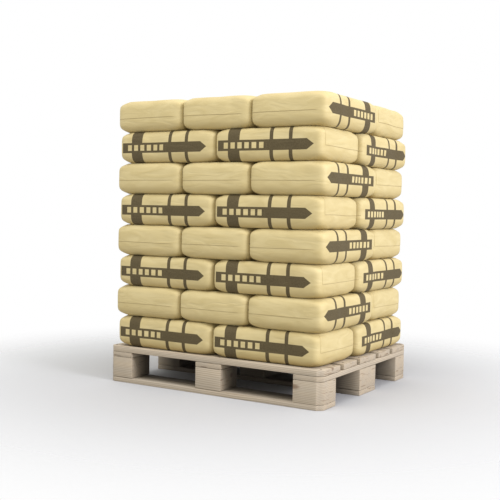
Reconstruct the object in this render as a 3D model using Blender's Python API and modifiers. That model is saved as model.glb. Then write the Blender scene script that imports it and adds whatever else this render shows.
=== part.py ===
"""Pallet of sacks: forty filled paper sacks, bonded in eight layers on a four-way block pallet.

Metres, +Z up. The origin is on the floor under the middle of the pallet. X runs along the pallet's
long side and Y along its short side, so the long face towards -Y is the front.
"""

import bmesh
import bpy
from mathutils import Matrix, Vector

# Pallet
PALLET_LENGTH = 1.200
PALLET_WIDTH = 1.000
RUNNER_HEIGHT = 0.025
BLOCK_HEIGHT = 0.102
CROSS_BOARD_HEIGHT = 0.025
DECK_HEIGHT = 0.028
NARROW_BOARD = 0.145
WIDE_BOARD = 0.190
CORNER_CHAMFER = 0.027

# Stack
LAYERS = 8
SACK_LENGTH = 0.563
SACK_WIDTH = 0.385
LAYER_PITCH = 0.1532
SACK_EDGE_BAND = 0.090
SIDE_DRAW_IN = SACK_EDGE_BAND / 24

# Clearance between neighbouring pieces
GAP = 0.0003

BLOCK_BOTTOM = RUNNER_HEIGHT
CROSS_BOARD_BOTTOM = BLOCK_BOTTOM + BLOCK_HEIGHT
DECK_BOTTOM = CROSS_BOARD_BOTTOM + CROSS_BOARD_HEIGHT
DECK_TOP = DECK_BOTTOM + DECK_HEIGHT

# Rows of feet from front to back, and columns of feet from left to right
OUTER_ROW = (PALLET_WIDTH - NARROW_BOARD) / 2
OUTER_COLUMN = (PALLET_LENGTH - NARROW_BOARD) / 2
ROWS = {
    "front": (-OUTER_ROW, NARROW_BOARD),
    "middle": (0.0, WIDE_BOARD),
    "back": (OUTER_ROW, NARROW_BOARD),
}
COLUMNS = {"left": -OUTER_COLUMN, "middle": 0.0, "right": OUTER_COLUMN}
DECK_WIDTHS = [WIDE_BOARD, NARROW_BOARD, WIDE_BOARD, NARROW_BOARD, WIDE_BOARD]


def clear_scene():
    """Start from an empty file."""
    for obj in list(bpy.data.objects):
        bpy.data.objects.remove(obj, do_unlink=True)


def make_collection(name):
    """A collection of that name in the scene."""
    collection = bpy.data.collections.new(name)
    bpy.context.scene.collection.children.link(collection)
    return collection


def make_material(name, colour, roughness):
    """A plain, non-metallic material."""
    material = bpy.data.materials.new(name)
    material.use_nodes = True
    shader = material.node_tree.nodes["Principled BSDF"]
    shader.inputs["Base Color"].default_value = (*colour, 1.0)
    shader.inputs["Roughness"].default_value = roughness
    shader.inputs["Metallic"].default_value = 0.0
    return material


def add_mesh_object(name, bm, location, material, collection):
    """Finish a bmesh as a named object."""
    mesh = bpy.data.meshes.new(name)
    bm.to_mesh(mesh)
    bm.free()
    mesh.materials.append(material)
    obj = bpy.data.objects.new(name, mesh)
    obj.location = location
    collection.objects.link(obj)
    return obj


def box_bmesh(size):
    """A box of that size about its own centre."""
    bm = bmesh.new()
    bmesh.ops.create_cube(bm, size=1.0, matrix=Matrix.Diagonal((*size, 1.0)))
    return bm


def chamfer_pallet_corners(bm, centre):
    """Cut the upright edges that lie on the pallet's four corners."""
    tolerance = 0.001
    on_corner = []
    for edge in bm.edges:
        start, end = (vert.co + centre for vert in edge.verts)
        upright = abs(start.z - end.z) > tolerance
        at_end = abs(abs(start.x) - PALLET_LENGTH / 2) < tolerance
        at_side = abs(abs(start.y) - PALLET_WIDTH / 2) < tolerance
        if upright and at_end and at_side:
            on_corner.append(edge)
    if on_corner:
        bmesh.ops.bevel(bm, geom=on_corner, offset=CORNER_CHAMFER, segments=1, affect="EDGES")


def add_timber(name, size, centre, material, collection):
    """One sawn piece of the pallet: a box, with the pallet's corner chamfers where it reaches them.

    The size is the place that the piece fills, and its top stays a gap below the piece above.
    """
    place = Vector(centre) - Vector((0.0, 0.0, GAP / 2))
    bm = box_bmesh((size[0], size[1], size[2] - GAP))
    chamfer_pallet_corners(bm, place)
    return add_mesh_object(name, bm, place, material, collection)


def add_runners(material, collection):
    """Three boards along the pallet's length, flat on the floor."""
    for row, (y, width) in ROWS.items():
        size = (PALLET_LENGTH, width, RUNNER_HEIGHT)
        add_timber(f"runner_{row}", size, (0.0, y, RUNNER_HEIGHT / 2), material, collection)


def add_blocks(material, collection):
    """Nine feet, three on each runner."""
    z = BLOCK_BOTTOM + BLOCK_HEIGHT / 2
    for row, (y, width) in ROWS.items():
        for column, x in COLUMNS.items():
            size = (NARROW_BOARD, width, BLOCK_HEIGHT)
            add_timber(f"block_{row}_{column}", size, (x, y, z), material, collection)


def add_cross_boards(material, collection):
    """Three boards across the pallet, each on a column of feet."""
    z = CROSS_BOARD_BOTTOM + CROSS_BOARD_HEIGHT / 2
    for column, x in COLUMNS.items():
        size = (NARROW_BOARD, PALLET_WIDTH, CROSS_BOARD_HEIGHT)
        add_timber(f"cross_board_{column}", size, (x, 0.0, z), material, collection)


def add_deck(material, collection):
    """Five deck boards along the pallet's length, with equal gaps between them."""
    z = DECK_BOTTOM + DECK_HEIGHT / 2
    space = (PALLET_WIDTH - sum(DECK_WIDTHS)) / (len(DECK_WIDTHS) - 1)
    front = -PALLET_WIDTH / 2
    for number, width in enumerate(DECK_WIDTHS, start=1):
        size = (PALLET_LENGTH, width, DECK_HEIGHT)
        centre = (0.0, front + width / 2, z)
        add_timber(f"deck_board_{number}", size, centre, material, collection)
        front += width + space


def sack_cage(length, width, height):
    """The coarse cage of a filled sack: a box with one cut near each upright side.

    Subdivided once, its top and bottom stay flat inside the edge band and its sides go round. That
    draws the middle of each side in, so the cage starts that much wider.
    """
    length += 2 * SIDE_DRAW_IN
    width += 2 * SIDE_DRAW_IN
    bm = box_bmesh((length, width, height))
    for axis, half in ((Vector((1, 0, 0)), length / 2), (Vector((0, 1, 0)), width / 2)):
        for side in (-1, 1):
            bmesh.ops.bisect_plane(
                bm,
                geom=bm.verts[:] + bm.edges[:] + bm.faces[:],
                plane_co=axis * side * (half - SACK_EDGE_BAND),
                plane_no=axis,
            )
    return bm


def add_sack(name, along_x, centre, material, collection):
    """One filled sack, with its length along X or along Y."""
    length = SACK_LENGTH - GAP
    width = SACK_WIDTH - GAP
    height = LAYER_PITCH - GAP
    size = (length, width, height) if along_x else (width, length, height)
    sack = add_mesh_object(name, sack_cage(*size), centre, material, collection)
    rounding = sack.modifiers.new("Rounded sides", "SUBSURF")
    rounding.levels = 1
    rounding.render_levels = 1
    sack.data.shade_smooth()
    return sack


def add_layer(number, material, collection):
    """One layer of five sacks.

    An odd layer has two sacks along X at the front and three along Y at the back. An even layer is
    the other way round, so that each layer bridges the joints of the one below it.
    """
    z = DECK_TOP + GAP + (number - 0.5) * LAYER_PITCH
    depth = SACK_LENGTH + SACK_WIDTH
    pair_is_front = number % 2 == 1
    pair_side, row_side = ("front", "back") if pair_is_front else ("back", "front")
    pair_sign = -1 if pair_is_front else 1
    pair_y = pair_sign * (depth - SACK_WIDTH) / 2
    row_y = -pair_sign * (depth - SACK_LENGTH) / 2
    for place, step in (("left", -0.5), ("right", 0.5)):
        centre = (step * SACK_LENGTH, pair_y, z)
        add_sack(f"sack_{number}_{pair_side}_{place}", True, centre, material, collection)
    for place, step in (("left", -1), ("middle", 0), ("right", 1)):
        centre = (step * SACK_WIDTH, row_y, z)
        add_sack(f"sack_{number}_{row_side}_{place}", False, centre, material, collection)


def main():
    clear_scene()
    collection = make_collection("pallet_of_sacks")
    wood = make_material("pallet_wood", (0.50, 0.44, 0.35), 0.85)
    paper = make_material("sack_paper", (0.72, 0.62, 0.38), 0.60)
    add_runners(wood, collection)
    add_blocks(wood, collection)
    add_cross_boards(wood, collection)
    add_deck(wood, collection)
    for number in range(1, LAYERS + 1):
        add_layer(number, paper, collection)


main()
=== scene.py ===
from math import radians, sqrt

import bmesh
import bpy
import numpy as np
from mathutils import Matrix, Vector


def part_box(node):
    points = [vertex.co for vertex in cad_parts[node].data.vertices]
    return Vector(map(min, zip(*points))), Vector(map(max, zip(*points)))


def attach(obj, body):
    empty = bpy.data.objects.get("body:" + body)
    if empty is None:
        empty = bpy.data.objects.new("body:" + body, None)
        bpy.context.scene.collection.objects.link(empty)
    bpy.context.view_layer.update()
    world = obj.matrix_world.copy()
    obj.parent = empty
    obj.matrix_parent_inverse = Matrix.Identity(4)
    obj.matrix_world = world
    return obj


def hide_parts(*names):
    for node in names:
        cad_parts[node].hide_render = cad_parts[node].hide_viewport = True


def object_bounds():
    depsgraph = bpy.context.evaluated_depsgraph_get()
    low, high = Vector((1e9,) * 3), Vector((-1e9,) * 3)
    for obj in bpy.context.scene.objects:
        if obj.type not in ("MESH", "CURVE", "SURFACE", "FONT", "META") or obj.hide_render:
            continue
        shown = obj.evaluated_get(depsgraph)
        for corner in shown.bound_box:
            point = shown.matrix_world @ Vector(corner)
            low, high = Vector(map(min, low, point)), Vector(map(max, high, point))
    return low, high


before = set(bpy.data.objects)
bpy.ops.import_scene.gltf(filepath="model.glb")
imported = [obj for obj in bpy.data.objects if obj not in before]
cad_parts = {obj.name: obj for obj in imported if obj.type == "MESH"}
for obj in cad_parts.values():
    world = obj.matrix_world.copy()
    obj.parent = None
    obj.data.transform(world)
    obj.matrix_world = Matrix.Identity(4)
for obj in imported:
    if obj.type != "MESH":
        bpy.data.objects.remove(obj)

cad_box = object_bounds()
scene = bpy.context.scene


# Camera
# A long-lens view of the pallet's near corner, from a little above its middle. The roll is the
# photo's own: its uprights lean.

CAMERA_PLACE = Vector((2.293, -3.925, 0.876))
CAMERA_AZIMUTH = radians(31.18)
CAMERA_PITCH = radians(2.60)
CAMERA_ROLL = radians(1.09)
CAMERA_LENS_MM = 63.28

camera_data = bpy.data.cameras.new("camera")
camera_data.sensor_width = 36
camera_data.lens = CAMERA_LENS_MM
camera = bpy.data.objects.new("camera", camera_data)
camera_turn = (
    Matrix.Rotation(CAMERA_AZIMUTH, 4, "Z")
    @ Matrix.Rotation(radians(90) - CAMERA_PITCH, 4, "X")
    @ Matrix.Rotation(CAMERA_ROLL, 4, "Z")
)
camera.matrix_world = Matrix.Translation(CAMERA_PLACE) @ camera_turn
scene.collection.objects.link(camera)
scene.camera = camera


# Filled sacks
# Pasted sacks of cream kraft paper, filled with powder and pressed flat by those above. Each lies
# with its arrow along the sack; the long sides bulge a little and the paper creases where it bends.

sack_low, sack_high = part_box("sack_1_front_right")
SACK_SIZE = Vector(sack_high) - Vector(sack_low)
SACK_CELLS = (32, 26, 9)
TOP_EDGE = (0.006, 0.026)
BOTTOM_EDGE = (0.009, 0.038)
CORNER_RADIUS = 0.026
PILLOW_CORNER_RADIUS = 0.090
FILL_PRESSURE = 4
PAPER_SLACK = 0.008
PAPER_UNEVENNESS = 0.0004
MOST_BULGE = 0.007
SOFT_LIMIT = 0.005
SIMULATED_FRAMES = 20
CALMING_PASSES = 3


def rounded(place):
    """Move a point of the plain box to the pressed sack: soft long edges, rounder corners."""
    half = SACK_SIZE / 2
    depth, height = TOP_EDGE if place.z > 0 else BOTTOM_EDGE
    rise = max(0.0, abs(place.z) - half.z + height) / height
    turn = 1 - sqrt(max(0.0, 1 - rise * rise))
    radius = CORNER_RADIUS + (PILLOW_CORNER_RADIUS - CORNER_RADIUS) * turn
    edge = Vector((half.x, half.y)) - Vector((1, 1)) * depth * turn
    flat = Vector((place.x * edge.x / half.x, place.y * edge.y / half.y))
    core = [edge[axis] - radius for axis in range(2)]
    nearest = Vector([max(-core[axis], min(core[axis], flat[axis])) for axis in range(2)])
    outside = flat - nearest
    if outside.length > radius:
        flat = nearest + outside.normalized() * radius
    return Vector((flat.x, flat.y, place.z))


def sack_blank(name):
    """The sack as a closed box with rounded edges, cut into cells, before the paper is blown up."""
    bpy.ops.object.select_all(action="DESELECT")
    bpy.ops.mesh.primitive_cube_add(size=1, scale=SACK_SIZE)
    bpy.ops.object.transform_apply(location=False, rotation=False, scale=True)
    sack = bpy.context.object
    sack.name = name
    bm = bmesh.new()
    bm.from_mesh(sack.data)
    for axis in range(3):
        normal = Vector([float(axis == other) for other in range(3)])
        for cut in range(1, SACK_CELLS[axis]):
            place = normal * SACK_SIZE[axis] * (cut / SACK_CELLS[axis] - 0.5)
            cells = bm.verts[:] + bm.edges[:] + bm.faces[:]
            bmesh.ops.bisect_plane(bm, geom=cells, plane_co=place, plane_no=normal)
    boxed_at = bm.verts.layers.float_vector.new("box_place")
    for vert in bm.verts:
        vert[boxed_at] = vert.co
        vert.co = rounded(vert.co)
    bm.to_mesh(sack.data)
    bm.free()
    return sack


def vertex_places(mesh):
    """The mesh's points as an array with one row each."""
    places = np.empty(len(mesh.vertices) * 3, dtype=np.float32)
    mesh.vertices.foreach_get("co", places)
    return places.reshape(-1, 3)


def calmed(mesh, step):
    """Even out how far the points moved, so that only broad dents stay."""
    ends = np.array([edge.vertices[:] for edge in mesh.edges])
    count = np.ones((len(step), 1))
    for side in range(2):
        np.add.at(count, ends[:, side], 1)
    for number in range(CALMING_PASSES):
        total = step.copy()
        np.add.at(total, ends[:, 0], step[ends[:, 1]])
        np.add.at(total, ends[:, 1], step[ends[:, 0]])
        step = total / count
    return step


def blow_up(sack, seed):
    """Let the paper swell and crease under the powder's pressure, inside the sack's own place."""
    blank = vertex_places(sack.data)
    rng = np.random.default_rng(seed)
    uneven = blank + rng.normal(0, PAPER_UNEVENNESS, blank.shape)
    sack.data.vertices.foreach_set("co", uneven.astype(np.float32).ravel())
    cloth = sack.modifiers.new("Paper", "CLOTH")
    paper = cloth.settings
    paper.use_pressure = True
    paper.uniform_pressure_force = FILL_PRESSURE
    paper.effector_weights.gravity = 0
    paper.shrink_min = -PAPER_SLACK
    paper.shrink_max = -PAPER_SLACK
    paper.tension_stiffness = 40
    paper.compression_stiffness = 40
    paper.shear_stiffness = 20
    paper.bending_stiffness = 5
    cloth.point_cache.frame_start = 1
    cloth.point_cache.frame_end = SIMULATED_FRAMES
    for number in range(1, SIMULATED_FRAMES + 1):
        scene.frame_set(number)
    evaluated = sack.evaluated_get(bpy.context.evaluated_depsgraph_get())
    step = vertex_places(evaluated.to_mesh()) - blank
    evaluated.to_mesh_clear()
    sack.modifiers.remove(cloth)
    scene.frame_set(1)
    step = calmed(sack.data, step)
    length = np.linalg.norm(step, axis=1, keepdims=True)
    step *= MOST_BULGE * np.tanh(length / MOST_BULGE) / np.maximum(length, 1e-9)
    swollen = blank + step
    limit = np.array(SACK_SIZE) / 2 - SOFT_LIMIT
    over = np.maximum(np.abs(swollen) - limit, 0)
    inside = np.minimum(np.abs(swollen), limit) + SOFT_LIMIT * np.tanh(over / SOFT_LIMIT)
    held = np.sign(swollen) * inside
    sack.data.vertices.foreach_set("co", held.astype(np.float32).ravel())
    sack.data.update()


def select_only(obj):
    """Make that object the only selected one, and the active one."""
    bpy.ops.object.select_all(action="DESELECT")
    bpy.context.view_layer.objects.active = obj
    obj.select_set(True)


def smooth_once(sack):
    """One level of subdivision, applied."""
    finer = sack.modifiers.new("Smooth", "SUBSURF")
    finer.levels = 1
    finer.render_levels = 1
    select_only(sack)
    bpy.ops.object.modifier_apply(modifier=finer.name)


FLAP_HEIGHT = SACK_SIZE.z * (4 / SACK_CELLS[2] - 0.5)
FLAP_START = SACK_SIZE.y * (2 / SACK_CELLS[1] - 0.5)
TURNED_FLAP_START = SACK_SIZE.y * (3 / SACK_CELLS[1] - 0.5)
FLAP_THICKNESS = 0.0009
FLAP_FADE = 0.060
FLAP_EDGE_FADE = 0.012
FLAP_START_FADE = 0.045
HIDDEN_RIM = 0.030


def fold_end_flaps(sack, print_turned, free_end):
    """Note where the flaps' edges lie on both ends, and raise the flap on the end that is free."""
    bm = bmesh.new()
    bm.from_mesh(sack.data)
    boxed_at = bm.verts.layers.float_vector["box_place"]
    folded_at = bm.verts.layers.float_vector.new("fold_place")
    hand = -1 if print_turned else 1
    start = TURNED_FLAP_START if print_turned else FLAP_START
    slack = 1e-4
    for end in (-1, 1):
        for vert in bm.verts:
            place = vert[boxed_at]
            if end * place.x > 0:
                on_end = hand * float(end * place.x > SACK_SIZE.x / 2 - slack)
                across = hand * end * place.y
                vert[folded_at] = Vector((on_end, across - start, place.z - FLAP_HEIGHT))
    flap = []
    for face in bm.faces:
        places = [vert[boxed_at] for vert in face.verts]
        on_end = all(free_end * place.x > SACK_SIZE.x / 2 - slack for place in places)
        over_line = all(place.z > FLAP_HEIGHT - slack for place in places)
        beside = all(hand * free_end * place.y > start - slack for place in places)
        if on_end and over_line and beside:
            flap.append(face)
    raised = bmesh.ops.extrude_face_region(bm, geom=flap)["geom"]
    bmesh.ops.delete(bm, geom=flap, context="FACES")
    hidden = HIDDEN_RIM if hand * free_end < 0 else 0.0
    for vert in raised:
        if isinstance(vert, bmesh.types.BMVert):
            place = vert[boxed_at]
            across = hand * free_end * place.y
            from_top = (SACK_SIZE.z / 2 - place.z) / FLAP_FADE
            from_side = (SACK_SIZE.y / 2 - across - hidden) / FLAP_EDGE_FADE
            from_start = (across - start) / FLAP_START_FADE if print_turned else 1.0
            share = max(0.0, min(1.0, from_top, from_side, from_start))
            vert.co.x += free_end * FLAP_THICKNESS * share
    bmesh.ops.remove_doubles(bm, verts=bm.verts[:], dist=1e-5)
    bmesh.ops.recalc_face_normals(bm, faces=bm.faces[:])
    bm.to_mesh(sack.data)
    bm.free()


# The print: a broad band with an arrow's head on each long side, and three stripes round the sack.
# Six plain blocks of bare paper stand in the band. Sizes run from the tail.

BAND_START = 0.022
BAND_SHOULDER = 0.485
BAND_TIP = 0.519
BAND_HALF_HEIGHT = 0.0248
BAND_OFFSET = -0.0035
STRIPES = ((0.078, 0.141), (0.297, 0.316), (0.395, 0.414))
BLOCKS_START = 0.055
BLOCK_PITCH = 0.0375
BLOCK_SHARE = 0.62
BLOCK_COUNT = 6
BLOCK_HALF_HEIGHT = 0.0140
LAYERS_FROM = sack_low[2] + 0.004
PRINT_BLUR = 0.0010

PAPER_COLOUR = (0.560, 0.460, 0.230, 1)
# Darker paper for the random mottle and for painted shade along the creases
PAPER_MOTTLE_AND_CREASE_SHADE = (0.480, 0.380, 0.168, 1)
# Painted shade under each sack: its colour and how far up it reaches
PAPER_UNDERSIDE_SHADE = (0.385, 0.287, 0.110, 1)
UNDERSIDE_SHARE = 0.42
PAPER_SHINE = 0.4
INK_COLOUR = (0.062, 0.043, 0.014, 1)
FOLD_COLOUR = (0.30, 0.215, 0.090, 1)
FOLD_LINE = 0.0028
FOLD_FADE = 0.016
FOLD_DARKNESS = 0.72
UPRIGHT_FOLD_SHARE = 0.5
ON_END = 0.98
INK_WEAR = 0.2
# The darker streaks of painted shade along the creases
CREASE_SHADE_MIDDLE = 0.38
CREASE_SHADE_CONTRAST = 1.9
# How strongly the painted shade under each sack darkens the paper
UNDERSIDE_SHADE_STRENGTH = 0.65
CREASE_DEPTH = 0.007


class Link:
    """An output socket of a material. Arithmetic on it adds the Math nodes for the expression."""

    def __init__(self, socket):
        self.socket = socket

    def node(self, kind, settings=None, inputs=None, output=0):
        """Add a node of that kind, set it up, and give one of its outputs."""
        tree = self.socket.id_data
        node = tree.nodes.new(kind)
        for name, value in (settings or {}).items():
            if name == "stops":
                set_stops(node.color_ramp, value)
            else:
                setattr(node, name, value)
        for name, value in (inputs or {}).items():
            if isinstance(value, Link):
                tree.links.new(value.socket, node.inputs[name])
            else:
                node.inputs[name].default_value = value
        return Link(node.outputs[output])

    def other(self, output):
        """Another output of the same node."""
        return Link(self.socket.node.outputs[output])

    def math(self, operation, *values):
        """Add a Math node over those values."""
        return self.node("ShaderNodeMath", {"operation": operation}, dict(enumerate(values)))

    def __add__(self, value):
        return self.math("ADD", self, value)

    def __radd__(self, value):
        return self.math("ADD", value, self)

    def __sub__(self, value):
        return self.math("SUBTRACT", self, value)

    def __rsub__(self, value):
        return self.math("SUBTRACT", value, self)

    def __mul__(self, value):
        return self.math("MULTIPLY", self, value)

    def __rmul__(self, value):
        return self.math("MULTIPLY", value, self)

    def __truediv__(self, value):
        return self.math("DIVIDE", self, value)

    def __abs__(self):
        return self.math("ABSOLUTE", self)


def set_stops(ramp, stops):
    """Give a colour ramp its stops: pairs of a place and a grey value."""
    ramp.elements[0].position = stops[0][0]
    ramp.elements[0].color = (stops[0][1],) * 3 + (1,)
    ramp.elements[1].position = stops[-1][0]
    ramp.elements[1].color = (stops[-1][1],) * 3 + (1,)
    for place, grey in stops[1:-1]:
        ramp.elements.new(place).color = (grey, grey, grey, 1)


def between(value, low, high, blur=PRINT_BLUR):
    """A mask that is 1 where value lies from low to high, with soft edges."""
    rising = (value - low) / blur + 0.5
    rising = rising.math("MAXIMUM", rising, 0.0)
    falling = (high - value) / blur + 0.5
    falling = falling.math("MAXIMUM", falling, 0.0)
    return rising.math("MINIMUM", rising, 1.0) * falling.math("MINIMUM", falling, 1.0)


def mixed(factor, first, second):
    """A colour from first to second, which are links or plain colours."""
    settings = {"data_type": "RGBA"}
    return factor.node("ShaderNodeMix", settings, {0: factor, 6: first, 7: second}, 2)


def noise(place, scale, detail=4.0, roughness=0.5, distortion=0.0):
    """Noise over a place, from 0 to 1."""
    inputs = {"Vector": place, "Scale": scale, "Detail": detail}
    inputs |= {"Roughness": roughness, "Distortion": distortion}
    return place.node("ShaderNodeTexNoise", None, inputs, "Fac")


def eased(value, start, stop):
    """From 0 where value is at start to 1 where it is at stop, eased at both."""
    span = {"Value": value, "From Min": start, "From Max": stop, "To Min": 0.0, "To Max": 1.0}
    return value.node("ShaderNodeMapRange", {"interpolation_type": "SMOOTHSTEP"}, span)


def stretched(place, scale):
    """The same place with each axis scaled."""
    return place.node("ShaderNodeMapping", None, {"Vector": place, "Scale": scale})


def new_material(name):
    """A material, its surface shader and its Object coordinates."""
    material = bpy.data.materials.new(name)
    material.use_nodes = True
    shader = material.node_tree.nodes["Principled BSDF"]
    place = Link(shader.outputs[0]).node("ShaderNodeTexCoord", output="Object")
    return material, shader, place


def feed(shader, name, link):
    """Join a link to one of the surface shader's inputs."""
    shader.id_data.links.new(link.socket, shader.inputs[name])


def printed_paper():
    """Cream sack paper with the brown print, faint creases and a dry, slightly smooth finish."""
    material, shader, place = new_material("printed_sack_paper")
    on_sack = place.node("ShaderNodeAttribute", {"attribute_name": "print_place"}, output="Vector")
    along = on_sack.node("ShaderNodeSeparateXYZ", None, {0: on_sack}, "X")
    height = along.other("Z")
    from_tail = along + SACK_SIZE.x / 2
    off_middle = abs(height - BAND_OFFSET)
    taper = (BAND_TIP - from_tail) * (BAND_HALF_HEIGHT / (BAND_TIP - BAND_SHOULDER))
    half_height = taper.math("MINIMUM", taper, BAND_HALF_HEIGHT)
    band = between(from_tail, BAND_START, BAND_TIP) * between(half_height - off_middle, 0.0, 1.0)

    # Bare blocks
    block = (from_tail - BLOCKS_START) / BLOCK_PITCH
    in_pitch = block.math("FRACT", block)
    blocks = between(in_pitch, 0.0, BLOCK_SHARE, PRINT_BLUR / BLOCK_PITCH)
    blocks = blocks * between(block, 0.0, float(BLOCK_COUNT), PRINT_BLUR / BLOCK_PITCH)
    blocks = blocks * between(off_middle, -1.0, BLOCK_HALF_HEIGHT)

    ink = band * (1.0 - blocks)
    for start, stop in STRIPES:
        stripe = between(from_tail, start, stop)
        ink = ink.math("MAXIMUM", ink, stripe * (1.0 - band * blocks))

    worn = noise(place, 210.0, 3.0, 0.6)
    ink = ink * (0.86 + worn * INK_WEAR)
    # Random mottle in the paper's tone, and painted shade: darker streaks along the creases
    mottle = noise(place, 9.0, 5.0, 0.6)
    streaks = noise(stretched(place, (6.0, 6.0, 24.0)), 1.0, 3.0, 0.45, 1.5)
    shade = mottle * 0.5 + (streaks - CREASE_SHADE_MIDDLE) * CREASE_SHADE_CONTRAST
    paper = mixed(shade, PAPER_COLOUR, PAPER_MOTTLE_AND_CREASE_SHADE)

    # Painted shade: each sack darkens towards its underside, where it turns in over the layer below
    up = place.node("ShaderNodeSeparateXYZ", None, {0: place}, "Z")
    in_layer = (up - LAYERS_FROM) / SACK_SIZE.z
    in_layer = in_layer.math("FRACT", in_layer)
    underside_shade = eased(in_layer, UNDERSIDE_SHARE, 0.0)
    paper = mixed(underside_shade * UNDERSIDE_SHADE_STRENGTH, paper, PAPER_UNDERSIDE_SHADE)

    # The free edges of the end flaps, a thin dark line of shade and paste
    folded = place.node("ShaderNodeAttribute", {"attribute_name": "fold_place"}, output="Vector")
    on_end = folded.node("ShaderNodeSeparateXYZ", None, {0: folded}, "X")
    from_start = on_end.other("Y")
    over_line = on_end.other("Z")
    lying = between(over_line, -FOLD_LINE, 0.0) * between(from_start, 0.0, 1.0, FOLD_FADE)
    standing = between(from_start, -FOLD_LINE, 0.0) * between(over_line, 0.0, 0.1, FOLD_FADE)
    standing = standing * between(on_end, ON_END, 2.0, 0.01) * UPRIGHT_FOLD_SHARE
    fold = lying.math("MAXIMUM", lying, standing) * between(abs(on_end), ON_END, 2.0, 0.01)
    paper = mixed(fold * FOLD_DARKNESS, paper, FOLD_COLOUR)
    feed(shader, "Base Color", mixed(ink, paper, INK_COLOUR))
    feed(shader, "Roughness", 0.62 + ink * 0.13)
    shader.inputs["Specular IOR Level"].default_value = PAPER_SHINE

    crepe = noise(place, 420.0, 2.0, 0.5)
    relief = streaks * 0.9 + crepe * 0.04
    inputs = {"Height": relief, "Strength": 0.55, "Distance": CREASE_DEPTH}
    feed(shader, "Normal", relief.node("ShaderNodeBump", None, inputs, "Normal"))
    return material


# Laying the sacks: the pairs lie along X, the rows of three along Y. In the even layers the row is
# turned over, so its print stands on its head on the right side. Only the sides that no sack
# holds bulge, and only the ends that face out show a raised flap.

MASTER_SEEDS = (3, 11, 27)
ROW_PRINT_SHIFT = 0.021
FREE_SIDE_BULGE = 0.008
SIDE_FLATNESS = 6
PAPER_MATERIAL = printed_paper()
sack_nodes = sorted(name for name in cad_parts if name.startswith("sack_"))
masters = []
for seed in MASTER_SEEDS:
    master = sack_blank(f"master_{seed}")
    blow_up(master, seed)
    smooth_once(master)
    print_place = master.data.attributes.new("print_place", "FLOAT_VECTOR", "POINT")
    print_place.data.foreach_set("vector", vertex_places(master.data).ravel())
    masters.append(master)


def bulge_free_sides(mesh, low, high, layer):
    """Swell the sides that no other sack of the layer holds, most at half height."""
    neighbours = [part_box(name) for name in sack_nodes if name.startswith(f"sack_{layer}_")]
    touch = 0.01
    places = vertex_places(mesh)
    reach = (places - np.array((low + high) / 2)) / (np.array(high - low) / 2)
    swell = FREE_SIDE_BULGE * (1 - np.minimum(np.abs(reach[:, 2]), 1) ** SIDE_FLATNESS)
    for axis in range(2):
        other = 1 - axis
        for side, edge in ((-1, low), (1, high)):
            held = False
            for box_low, box_high in neighbours:
                beyond = side * ((box_low[axis] + box_high[axis]) / 2 - edge[axis]) > 0
                overlap = min(box_high[other], high[other]) - max(box_low[other], low[other])
                beside = overlap > touch
                held = held or (beyond and beside)
            if not held:
                places[:, axis] += side * swell * np.maximum(side * reach[:, axis], 0) ** 2
    mesh.vertices.foreach_set("co", places.astype(np.float32).ravel())
    mesh.update()


for number, node in enumerate(sack_nodes):
    low, high = (Vector(corner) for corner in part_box(node))
    layer = int(node.split("_")[1])
    along_x = (high - low).x > (high - low).y
    master = masters[number % len(masters)]
    sack = master.copy()
    sack.data = master.data.copy()
    sack.name = f"filled_{node}"
    scene.collection.objects.link(sack)
    print_turned = not along_x and layer % 2 == 0
    middle = (low + high) / 2
    outward = middle.x if along_x else middle.y
    fold_end_flaps(sack, print_turned, 1 if outward > 0 else -1)
    if not along_x:
        for place in sack.data.attributes["print_place"].data:
            if print_turned:
                place.vector = Vector((-place.vector.x, place.vector.y, -place.vector.z))
            place.vector.x -= ROW_PRINT_SHIFT
        sack.data.transform(Matrix.Rotation(radians(90), 4, "Z"))
    sack.data.transform(Matrix.Translation(middle))
    bulge_free_sides(sack.data, low, high, layer)
    sack.data.materials.clear()
    sack.data.materials.append(PAPER_MATERIAL)
    sack.data.shade_smooth()
    sack.data.set_sharp_from_angle(angle=radians(50))
    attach(sack, "root")
    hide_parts(node)
for master in masters:
    bpy.data.objects.remove(master)


# Pallet timber
# Rough-sawn softwood, pale and a little weathered. Runners and deck boards run along the pallet,
# cross boards across it, and the blocks are sawn from a bar whose grain lies along the pallet.

pallet_low, pallet_high = (Vector(corner) for corner in cad_box)
pallet_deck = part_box("deck_board_1")[1][2]
CORNER_CHAMFER = 0.027
WORN_ARRIS = 0.0025
SAW_CUT_SPACING = 0.050
SAWN_UNEVENNESS = 0.0014
TIMBER_SEED = 5

sawn_waves = bpy.data.textures.new("sawn_waves", "CLOUDS")
sawn_waves.noise_scale = 0.045
sawn_waves.noise_depth = 3


def at_pallet_corner(start, end):
    """Whether an edge between two points is upright and lies on a corner of the pallet."""
    near = 1e-3
    at_end = min(abs(start.x - pallet_low.x), abs(start.x - pallet_high.x)) < near
    at_side = min(abs(start.y - pallet_low.y), abs(start.y - pallet_high.y)) < near
    return at_end and at_side and (end - start).xy.length < near


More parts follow.
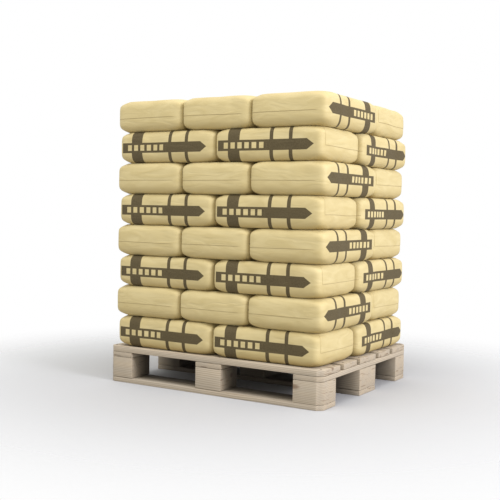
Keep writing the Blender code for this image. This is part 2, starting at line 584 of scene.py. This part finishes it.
def sawn_timber(node):
    """One board or block: a box at the node's place, chamfered, worn along its edges and uneven."""
    low, high = (Vector(corner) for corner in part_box(node))
    size = high - low
    bpy.ops.object.select_all(action="DESELECT")
    bpy.ops.mesh.primitive_cube_add(size=1, location=(low + high) / 2, scale=size)
    bpy.ops.object.transform_apply(location=True, rotation=False, scale=True)
    board = bpy.context.object
    board.name = f"sawn_{node}"
    mesh = board.data

    bpy.ops.object.mode_set(mode="EDIT")
    bpy.ops.mesh.select_mode(type="EDGE")
    bpy.ops.mesh.select_all(action="DESELECT")
    bpy.ops.object.mode_set(mode="OBJECT")
    cornered = False
    for edge in mesh.edges:
        ends = [mesh.vertices[index].co for index in edge.vertices]
        edge.select = at_pallet_corner(*ends)
        cornered = cornered or edge.select
    bpy.ops.object.mode_set(mode="EDIT")
    if cornered:
        bpy.ops.mesh.bevel(offset=CORNER_CHAMFER, segments=1)
    for axis in range(3):
        normal = Vector([float(axis == other) for other in range(3)])
        pieces = max(1, round(size[axis] / SAW_CUT_SPACING))
        for cut in range(1, pieces):
            place = low + size * (cut / pieces)
            bpy.ops.mesh.select_all(action="SELECT")
            bpy.ops.mesh.bisect(plane_co=place, plane_no=normal)
    bpy.ops.object.mode_set(mode="OBJECT")

    worn = board.modifiers.new("Worn edges", "BEVEL")
    worn.limit_method = "ANGLE"
    worn.angle_limit = radians(30)
    worn.width = WORN_ARRIS
    worn.segments = 2
    uneven = board.modifiers.new("Saw waves", "DISPLACE")
    uneven.texture = sawn_waves
    uneven.texture_coords = "LOCAL"
    uneven.strength = SAWN_UNEVENNESS
    uneven.mid_level = 1.0
    select_only(board)
    bpy.ops.object.modifier_apply(modifier=worn.name)
    bpy.ops.object.modifier_apply(modifier=uneven.name)
    mesh.shade_smooth()
    mesh.set_sharp_from_angle(angle=radians(35))
    return board


# The wood itself: growth rings about a pith beside each piece, fine grain along it, a few knots,
# darker sawn ends and a grey bloom.

WOOD_LIGHT = (0.475, 0.395, 0.285, 1)
WOOD_DARK = (0.285, 0.215, 0.140, 1)
WOOD_GREY = (0.325, 0.298, 0.250, 1)
# Near-black painted shade inside the pallet, growing over this depth from its outer faces
WOOD_INSIDE_SHADE = (0.035, 0.026, 0.017, 1)
INSIDE_SHADE_DEPTH = 0.110
KNOT_COLOUR = (0.17, 0.105, 0.06, 1)
UNDER_DECK = pallet_deck - 0.004
RING_SPACING = 0.0065
WOOD_BUMP = 0.0012
PITH_BELOW = 0.15
PITH_SPREAD = 0.05
END_DARKNESS = 0.12
CRACK_DARKNESS = 0.7
KNOT_DARKNESS = 0.85
# How strongly the painted shade inside the pallet darkens the wood
INSIDE_SHADE_DARKNESS = 0.8
KNOT_STOPS = ((0.0, 1.0), (0.075, 0.85), (0.13, 0.0))


def softwood(name, grain_turn):
    """Softwood whose grain runs along X, or along Y with a quarter turn."""
    material, shader, place = new_material(name)
    pith = place.node("ShaderNodeAttribute", {"attribute_name": "pith"}, output="Vector")
    from_pith = place.node("ShaderNodeVectorMath", {"operation": "SUBTRACT"}, {0: place, 1: pith})
    turned = {"Vector": from_pith, "Rotation": (0, 0, grain_turn)}
    grain = place.node("ShaderNodeMapping", None, turned)

    waver = noise(stretched(grain, (1.2, 7.0, 7.0)), 1.0, 2.0, 0.5)
    across = grain.node("ShaderNodeSeparateXYZ", None, {0: grain}, "Y")
    upward = across.other("Z")
    square = across * across + upward * upward
    radius = square.math("SQRT", square) + waver * 0.030
    ring = radius / RING_SPACING
    ring = ring.math("FRACT", ring)
    late_wood = between(ring, 0.62, 0.97, 0.20)
    fibre = noise(stretched(grain, (5.0, 260.0, 260.0)), 1.0, 4.0, 0.6)
    streak = noise(stretched(grain, (1.5, 26.0, 26.0)), 1.0, 3.0, 0.55)

    spots = {"Vector": stretched(grain, (3.2, 9.0, 9.0)), "Scale": 1.0, "Randomness": 1.0}
    knot_distance = grain.node("ShaderNodeTexVoronoi", None, spots, "Distance")
    stops = {"stops": KNOT_STOPS}
    knot = knot_distance.node("ShaderNodeValToRGB", stops, {0: knot_distance}, "Color")

    turned = {"Vector": place.other("Normal"), "Rotation": (0, 0, grain_turn)}
    facing = place.node("ShaderNodeMapping", None, turned)
    on_end = abs(facing.node("ShaderNodeSeparateXYZ", None, {0: facing}, "X"))
    end_grain = between(on_end, 0.75, 2.0, 0.2)

    wood = mixed(late_wood * 0.75 + fibre * 0.35 - 0.1, WOOD_LIGHT, WOOD_DARK)
    wood = mixed((streak - 0.35) * 1.1, wood, WOOD_GREY)
    wood = mixed(end_grain * END_DARKNESS, wood, WOOD_DARK)

    # Drying cracks in the sawn ends, lying with the rings
    crazed = noise(stretched(place, (11.0, 11.0, 190.0)), 1.0, 1.0, 0.5)
    cracks = between(crazed, 0.67, 2.0, 0.04) * end_grain
    wood = mixed(cracks * CRACK_DARKNESS, wood, KNOT_COLOUR)
    wood = mixed(knot * KNOT_DARKNESS, wood, KNOT_COLOUR)

    # Painted shade: the wood darkens inside the pallet, below the deck, where shade falls
    from_side = place.node("ShaderNodeSeparateXYZ", None, {0: place}, "X")
    from_front = pallet_high.y - abs(from_side.other("Y"))
    deep = from_front.math("MINIMUM", from_front, pallet_high.x - abs(from_side)) / INSIDE_SHADE_DEPTH
    deep = deep.math("MINIMUM", deep, 1.0) * between(from_side.other("Z"), -1.0, UNDER_DECK)
    wood = mixed(deep * INSIDE_SHADE_DARKNESS, wood, WOOD_INSIDE_SHADE)
    feed(shader, "Base Color", wood)
    feed(shader, "Roughness", 0.88 - late_wood * 0.12)
    relief = fibre * 0.6 + late_wood * 0.25 + knot * 0.4 - cracks
    inputs = {"Height": relief, "Strength": 0.5, "Distance": WOOD_BUMP}
    feed(shader, "Normal", relief.node("ShaderNodeBump", None, inputs, "Normal"))
    return material


along_pallet = softwood("softwood_along", 0.0)
across_pallet = softwood("softwood_across", radians(-90))
timber_rng = np.random.default_rng(TIMBER_SEED)
timber_nodes = sorted(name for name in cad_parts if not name.startswith("sack_"))
for node in timber_nodes:
    board = sawn_timber(node)
    low, high = (Vector(corner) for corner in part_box(node))
    pith_side = Vector(timber_rng.uniform(-1, 1, 3)) * PITH_SPREAD - Vector((0, 0, PITH_BELOW))
    pith = board.data.attributes.new("pith", "FLOAT_VECTOR", "POINT")
    pith.data.foreach_set("vector", list((low + high) / 2 + pith_side) * len(board.data.vertices))
    is_cross_board = node.startswith("cross_board")
    board.data.materials.append(across_pallet if is_cross_board else along_pallet)
    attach(board, "root")
    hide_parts(node)


# Nails
# Round wire nails with flat heads, of dull steel with a little rust. They are driven flush through
# each deck board into the cross boards: two to a narrow board and three to a wide one.

NAIL_HEAD_RADIUS = 0.0052
NAIL_HEAD_THICKNESS = 0.0016
NAIL_STAND = 0.0002
NAIL_FROM_END = 0.021
NAIL_FROM_SIDE = 0.032
NAIL_ROWS_APART = 0.092
RIM_ROUNDING = 0.0004
WIDE_BOARD = 0.16
STEEL_COLOUR = (0.22, 0.19, 0.16, 1)
RUST_COLOUR = (0.16, 0.09, 0.05, 1)


def nail_steel():
    """Dull steel with a little rust."""
    material, shader, place = new_material("nail_steel")
    rust = noise(place, 260.0, 3.0, 0.6)
    feed(shader, "Base Color", mixed(rust, STEEL_COLOUR, RUST_COLOUR))
    feed(shader, "Metallic", 0.9 - rust * 0.7)
    feed(shader, "Roughness", 0.40 + rust * 0.3)
    return material


def deck_nails():
    """The places of the nail heads, where each deck board crosses a cross board."""
    places = []
    cross_boards = [name for name in timber_nodes if name.startswith("cross_board")]
    for deck_board in (name for name in timber_nodes if name.startswith("deck_board")):
        low, high = (Vector(corner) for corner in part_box(deck_board))
        sides = [low.y + NAIL_FROM_SIDE, high.y - NAIL_FROM_SIDE]
        if (high - low).y > WIDE_BOARD:
            sides.insert(1, (low.y + high.y) / 2)
        for cross_board in cross_boards:
            left, right = (Vector(corner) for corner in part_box(cross_board))
            middle = (left.x + right.x) / 2
            for index, y in enumerate(sides):
                lean = -0.5 if index % 2 else 0.5
                x = middle + lean * NAIL_ROWS_APART
                if abs(middle) > NAIL_ROWS_APART:
                    outward = 1 if middle > 0 else -1
                    edge = right.x if middle > 0 else left.x
                    x = edge - outward * (NAIL_FROM_END + (NAIL_ROWS_APART if index % 2 else 0))
                places.append(Vector((x, y, high.z)))
    return places


bpy.ops.object.select_all(action="DESELECT")
bpy.ops.mesh.primitive_cylinder_add(
    vertices=16, radius=NAIL_HEAD_RADIUS, depth=NAIL_HEAD_THICKNESS, end_fill_type="TRIFAN"
)
nail_head = bpy.context.object
rounding = nail_head.modifiers.new("Rounded rim", "BEVEL")
rounding.width = RIM_ROUNDING
rounding.segments = 2
select_only(nail_head)
bpy.ops.object.modifier_apply(modifier=rounding.name)
sunk = Vector((0, 0, NAIL_STAND - NAIL_HEAD_THICKNESS / 2))
heads = []
for place in deck_nails():
    head = nail_head.copy()
    head.data = nail_head.data.copy()
    head.data.transform(Matrix.Translation(place + sunk))
    scene.collection.objects.link(head)
    heads.append(head)
bpy.data.objects.remove(nail_head)
bpy.ops.object.select_all(action="DESELECT")
for head in heads:
    head.select_set(True)
bpy.context.view_layer.objects.active = heads[0]
bpy.ops.object.join()
nails = bpy.context.object
nails.name = "deck_nails"
nails.data.materials.append(nail_steel())
nails.data.shade_smooth()
nails.data.set_sharp_from_angle(angle=radians(40))
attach(nails, "root")


# Floor and light
# A plain pale floor that fades out into a white room, one large soft lamp high on the right and a
# broad one overhead.

FLOOR_SIZE = 24
FLOOR_FULL_TO = 0.85
FLOOR_GONE_AT = 2.3
FLOOR_GREY = 0.45
LAMP_AIM = Vector((0, 0, 0.8))
bpy.ops.object.select_all(action="DESELECT")
bpy.ops.mesh.primitive_plane_add(size=FLOOR_SIZE)
floor = bpy.context.object
floor.name = "floor"
floor_material, floor_shader, floor_place = new_material("floor_white")
floor_shader.inputs["Base Color"].default_value = (FLOOR_GREY, FLOOR_GREY, FLOOR_GREY, 1)
floor_shader.inputs["Roughness"].default_value = 0.9
measure = {"operation": "LENGTH"}
from_middle = floor_place.node("ShaderNodeVectorMath", measure, {0: floor_place}, "Value")
feed(floor_shader, "Alpha", eased(from_middle, FLOOR_GONE_AT, FLOOR_FULL_TO))
floor.data.materials.append(floor_material)

room = bpy.data.worlds.new("room")
room.use_nodes = True
room.node_tree.nodes["Background"].inputs["Color"].default_value = (1, 1, 1, 1)
room.node_tree.nodes["Background"].inputs["Strength"].default_value = 1.0
scene.world = room


def soft_lamp(name, place, size, energy, colour):
    """A round area lamp at a place, turned to the middle of the load."""
    data = bpy.data.lights.new(name, "AREA")
    data.shape = "DISK"
    data.size = size
    data.energy = energy
    data.color = colour
    lamp = bpy.data.objects.new(name, data)
    lamp.location = place
    lamp.rotation_euler = (LAMP_AIM - place).to_track_quat("-Z", "Y").to_euler()
    scene.collection.objects.link(lamp)


soft_lamp("key", Vector((7.5, -1.2, 3.9)), size=3.4, energy=515, colour=(1, 1, 1.10))
soft_lamp("overhead", Vector((0.3, -2.6, 8.0)), size=4.5, energy=310, colour=(1, 1, 1))

scene.view_settings.view_transform = "Standard"
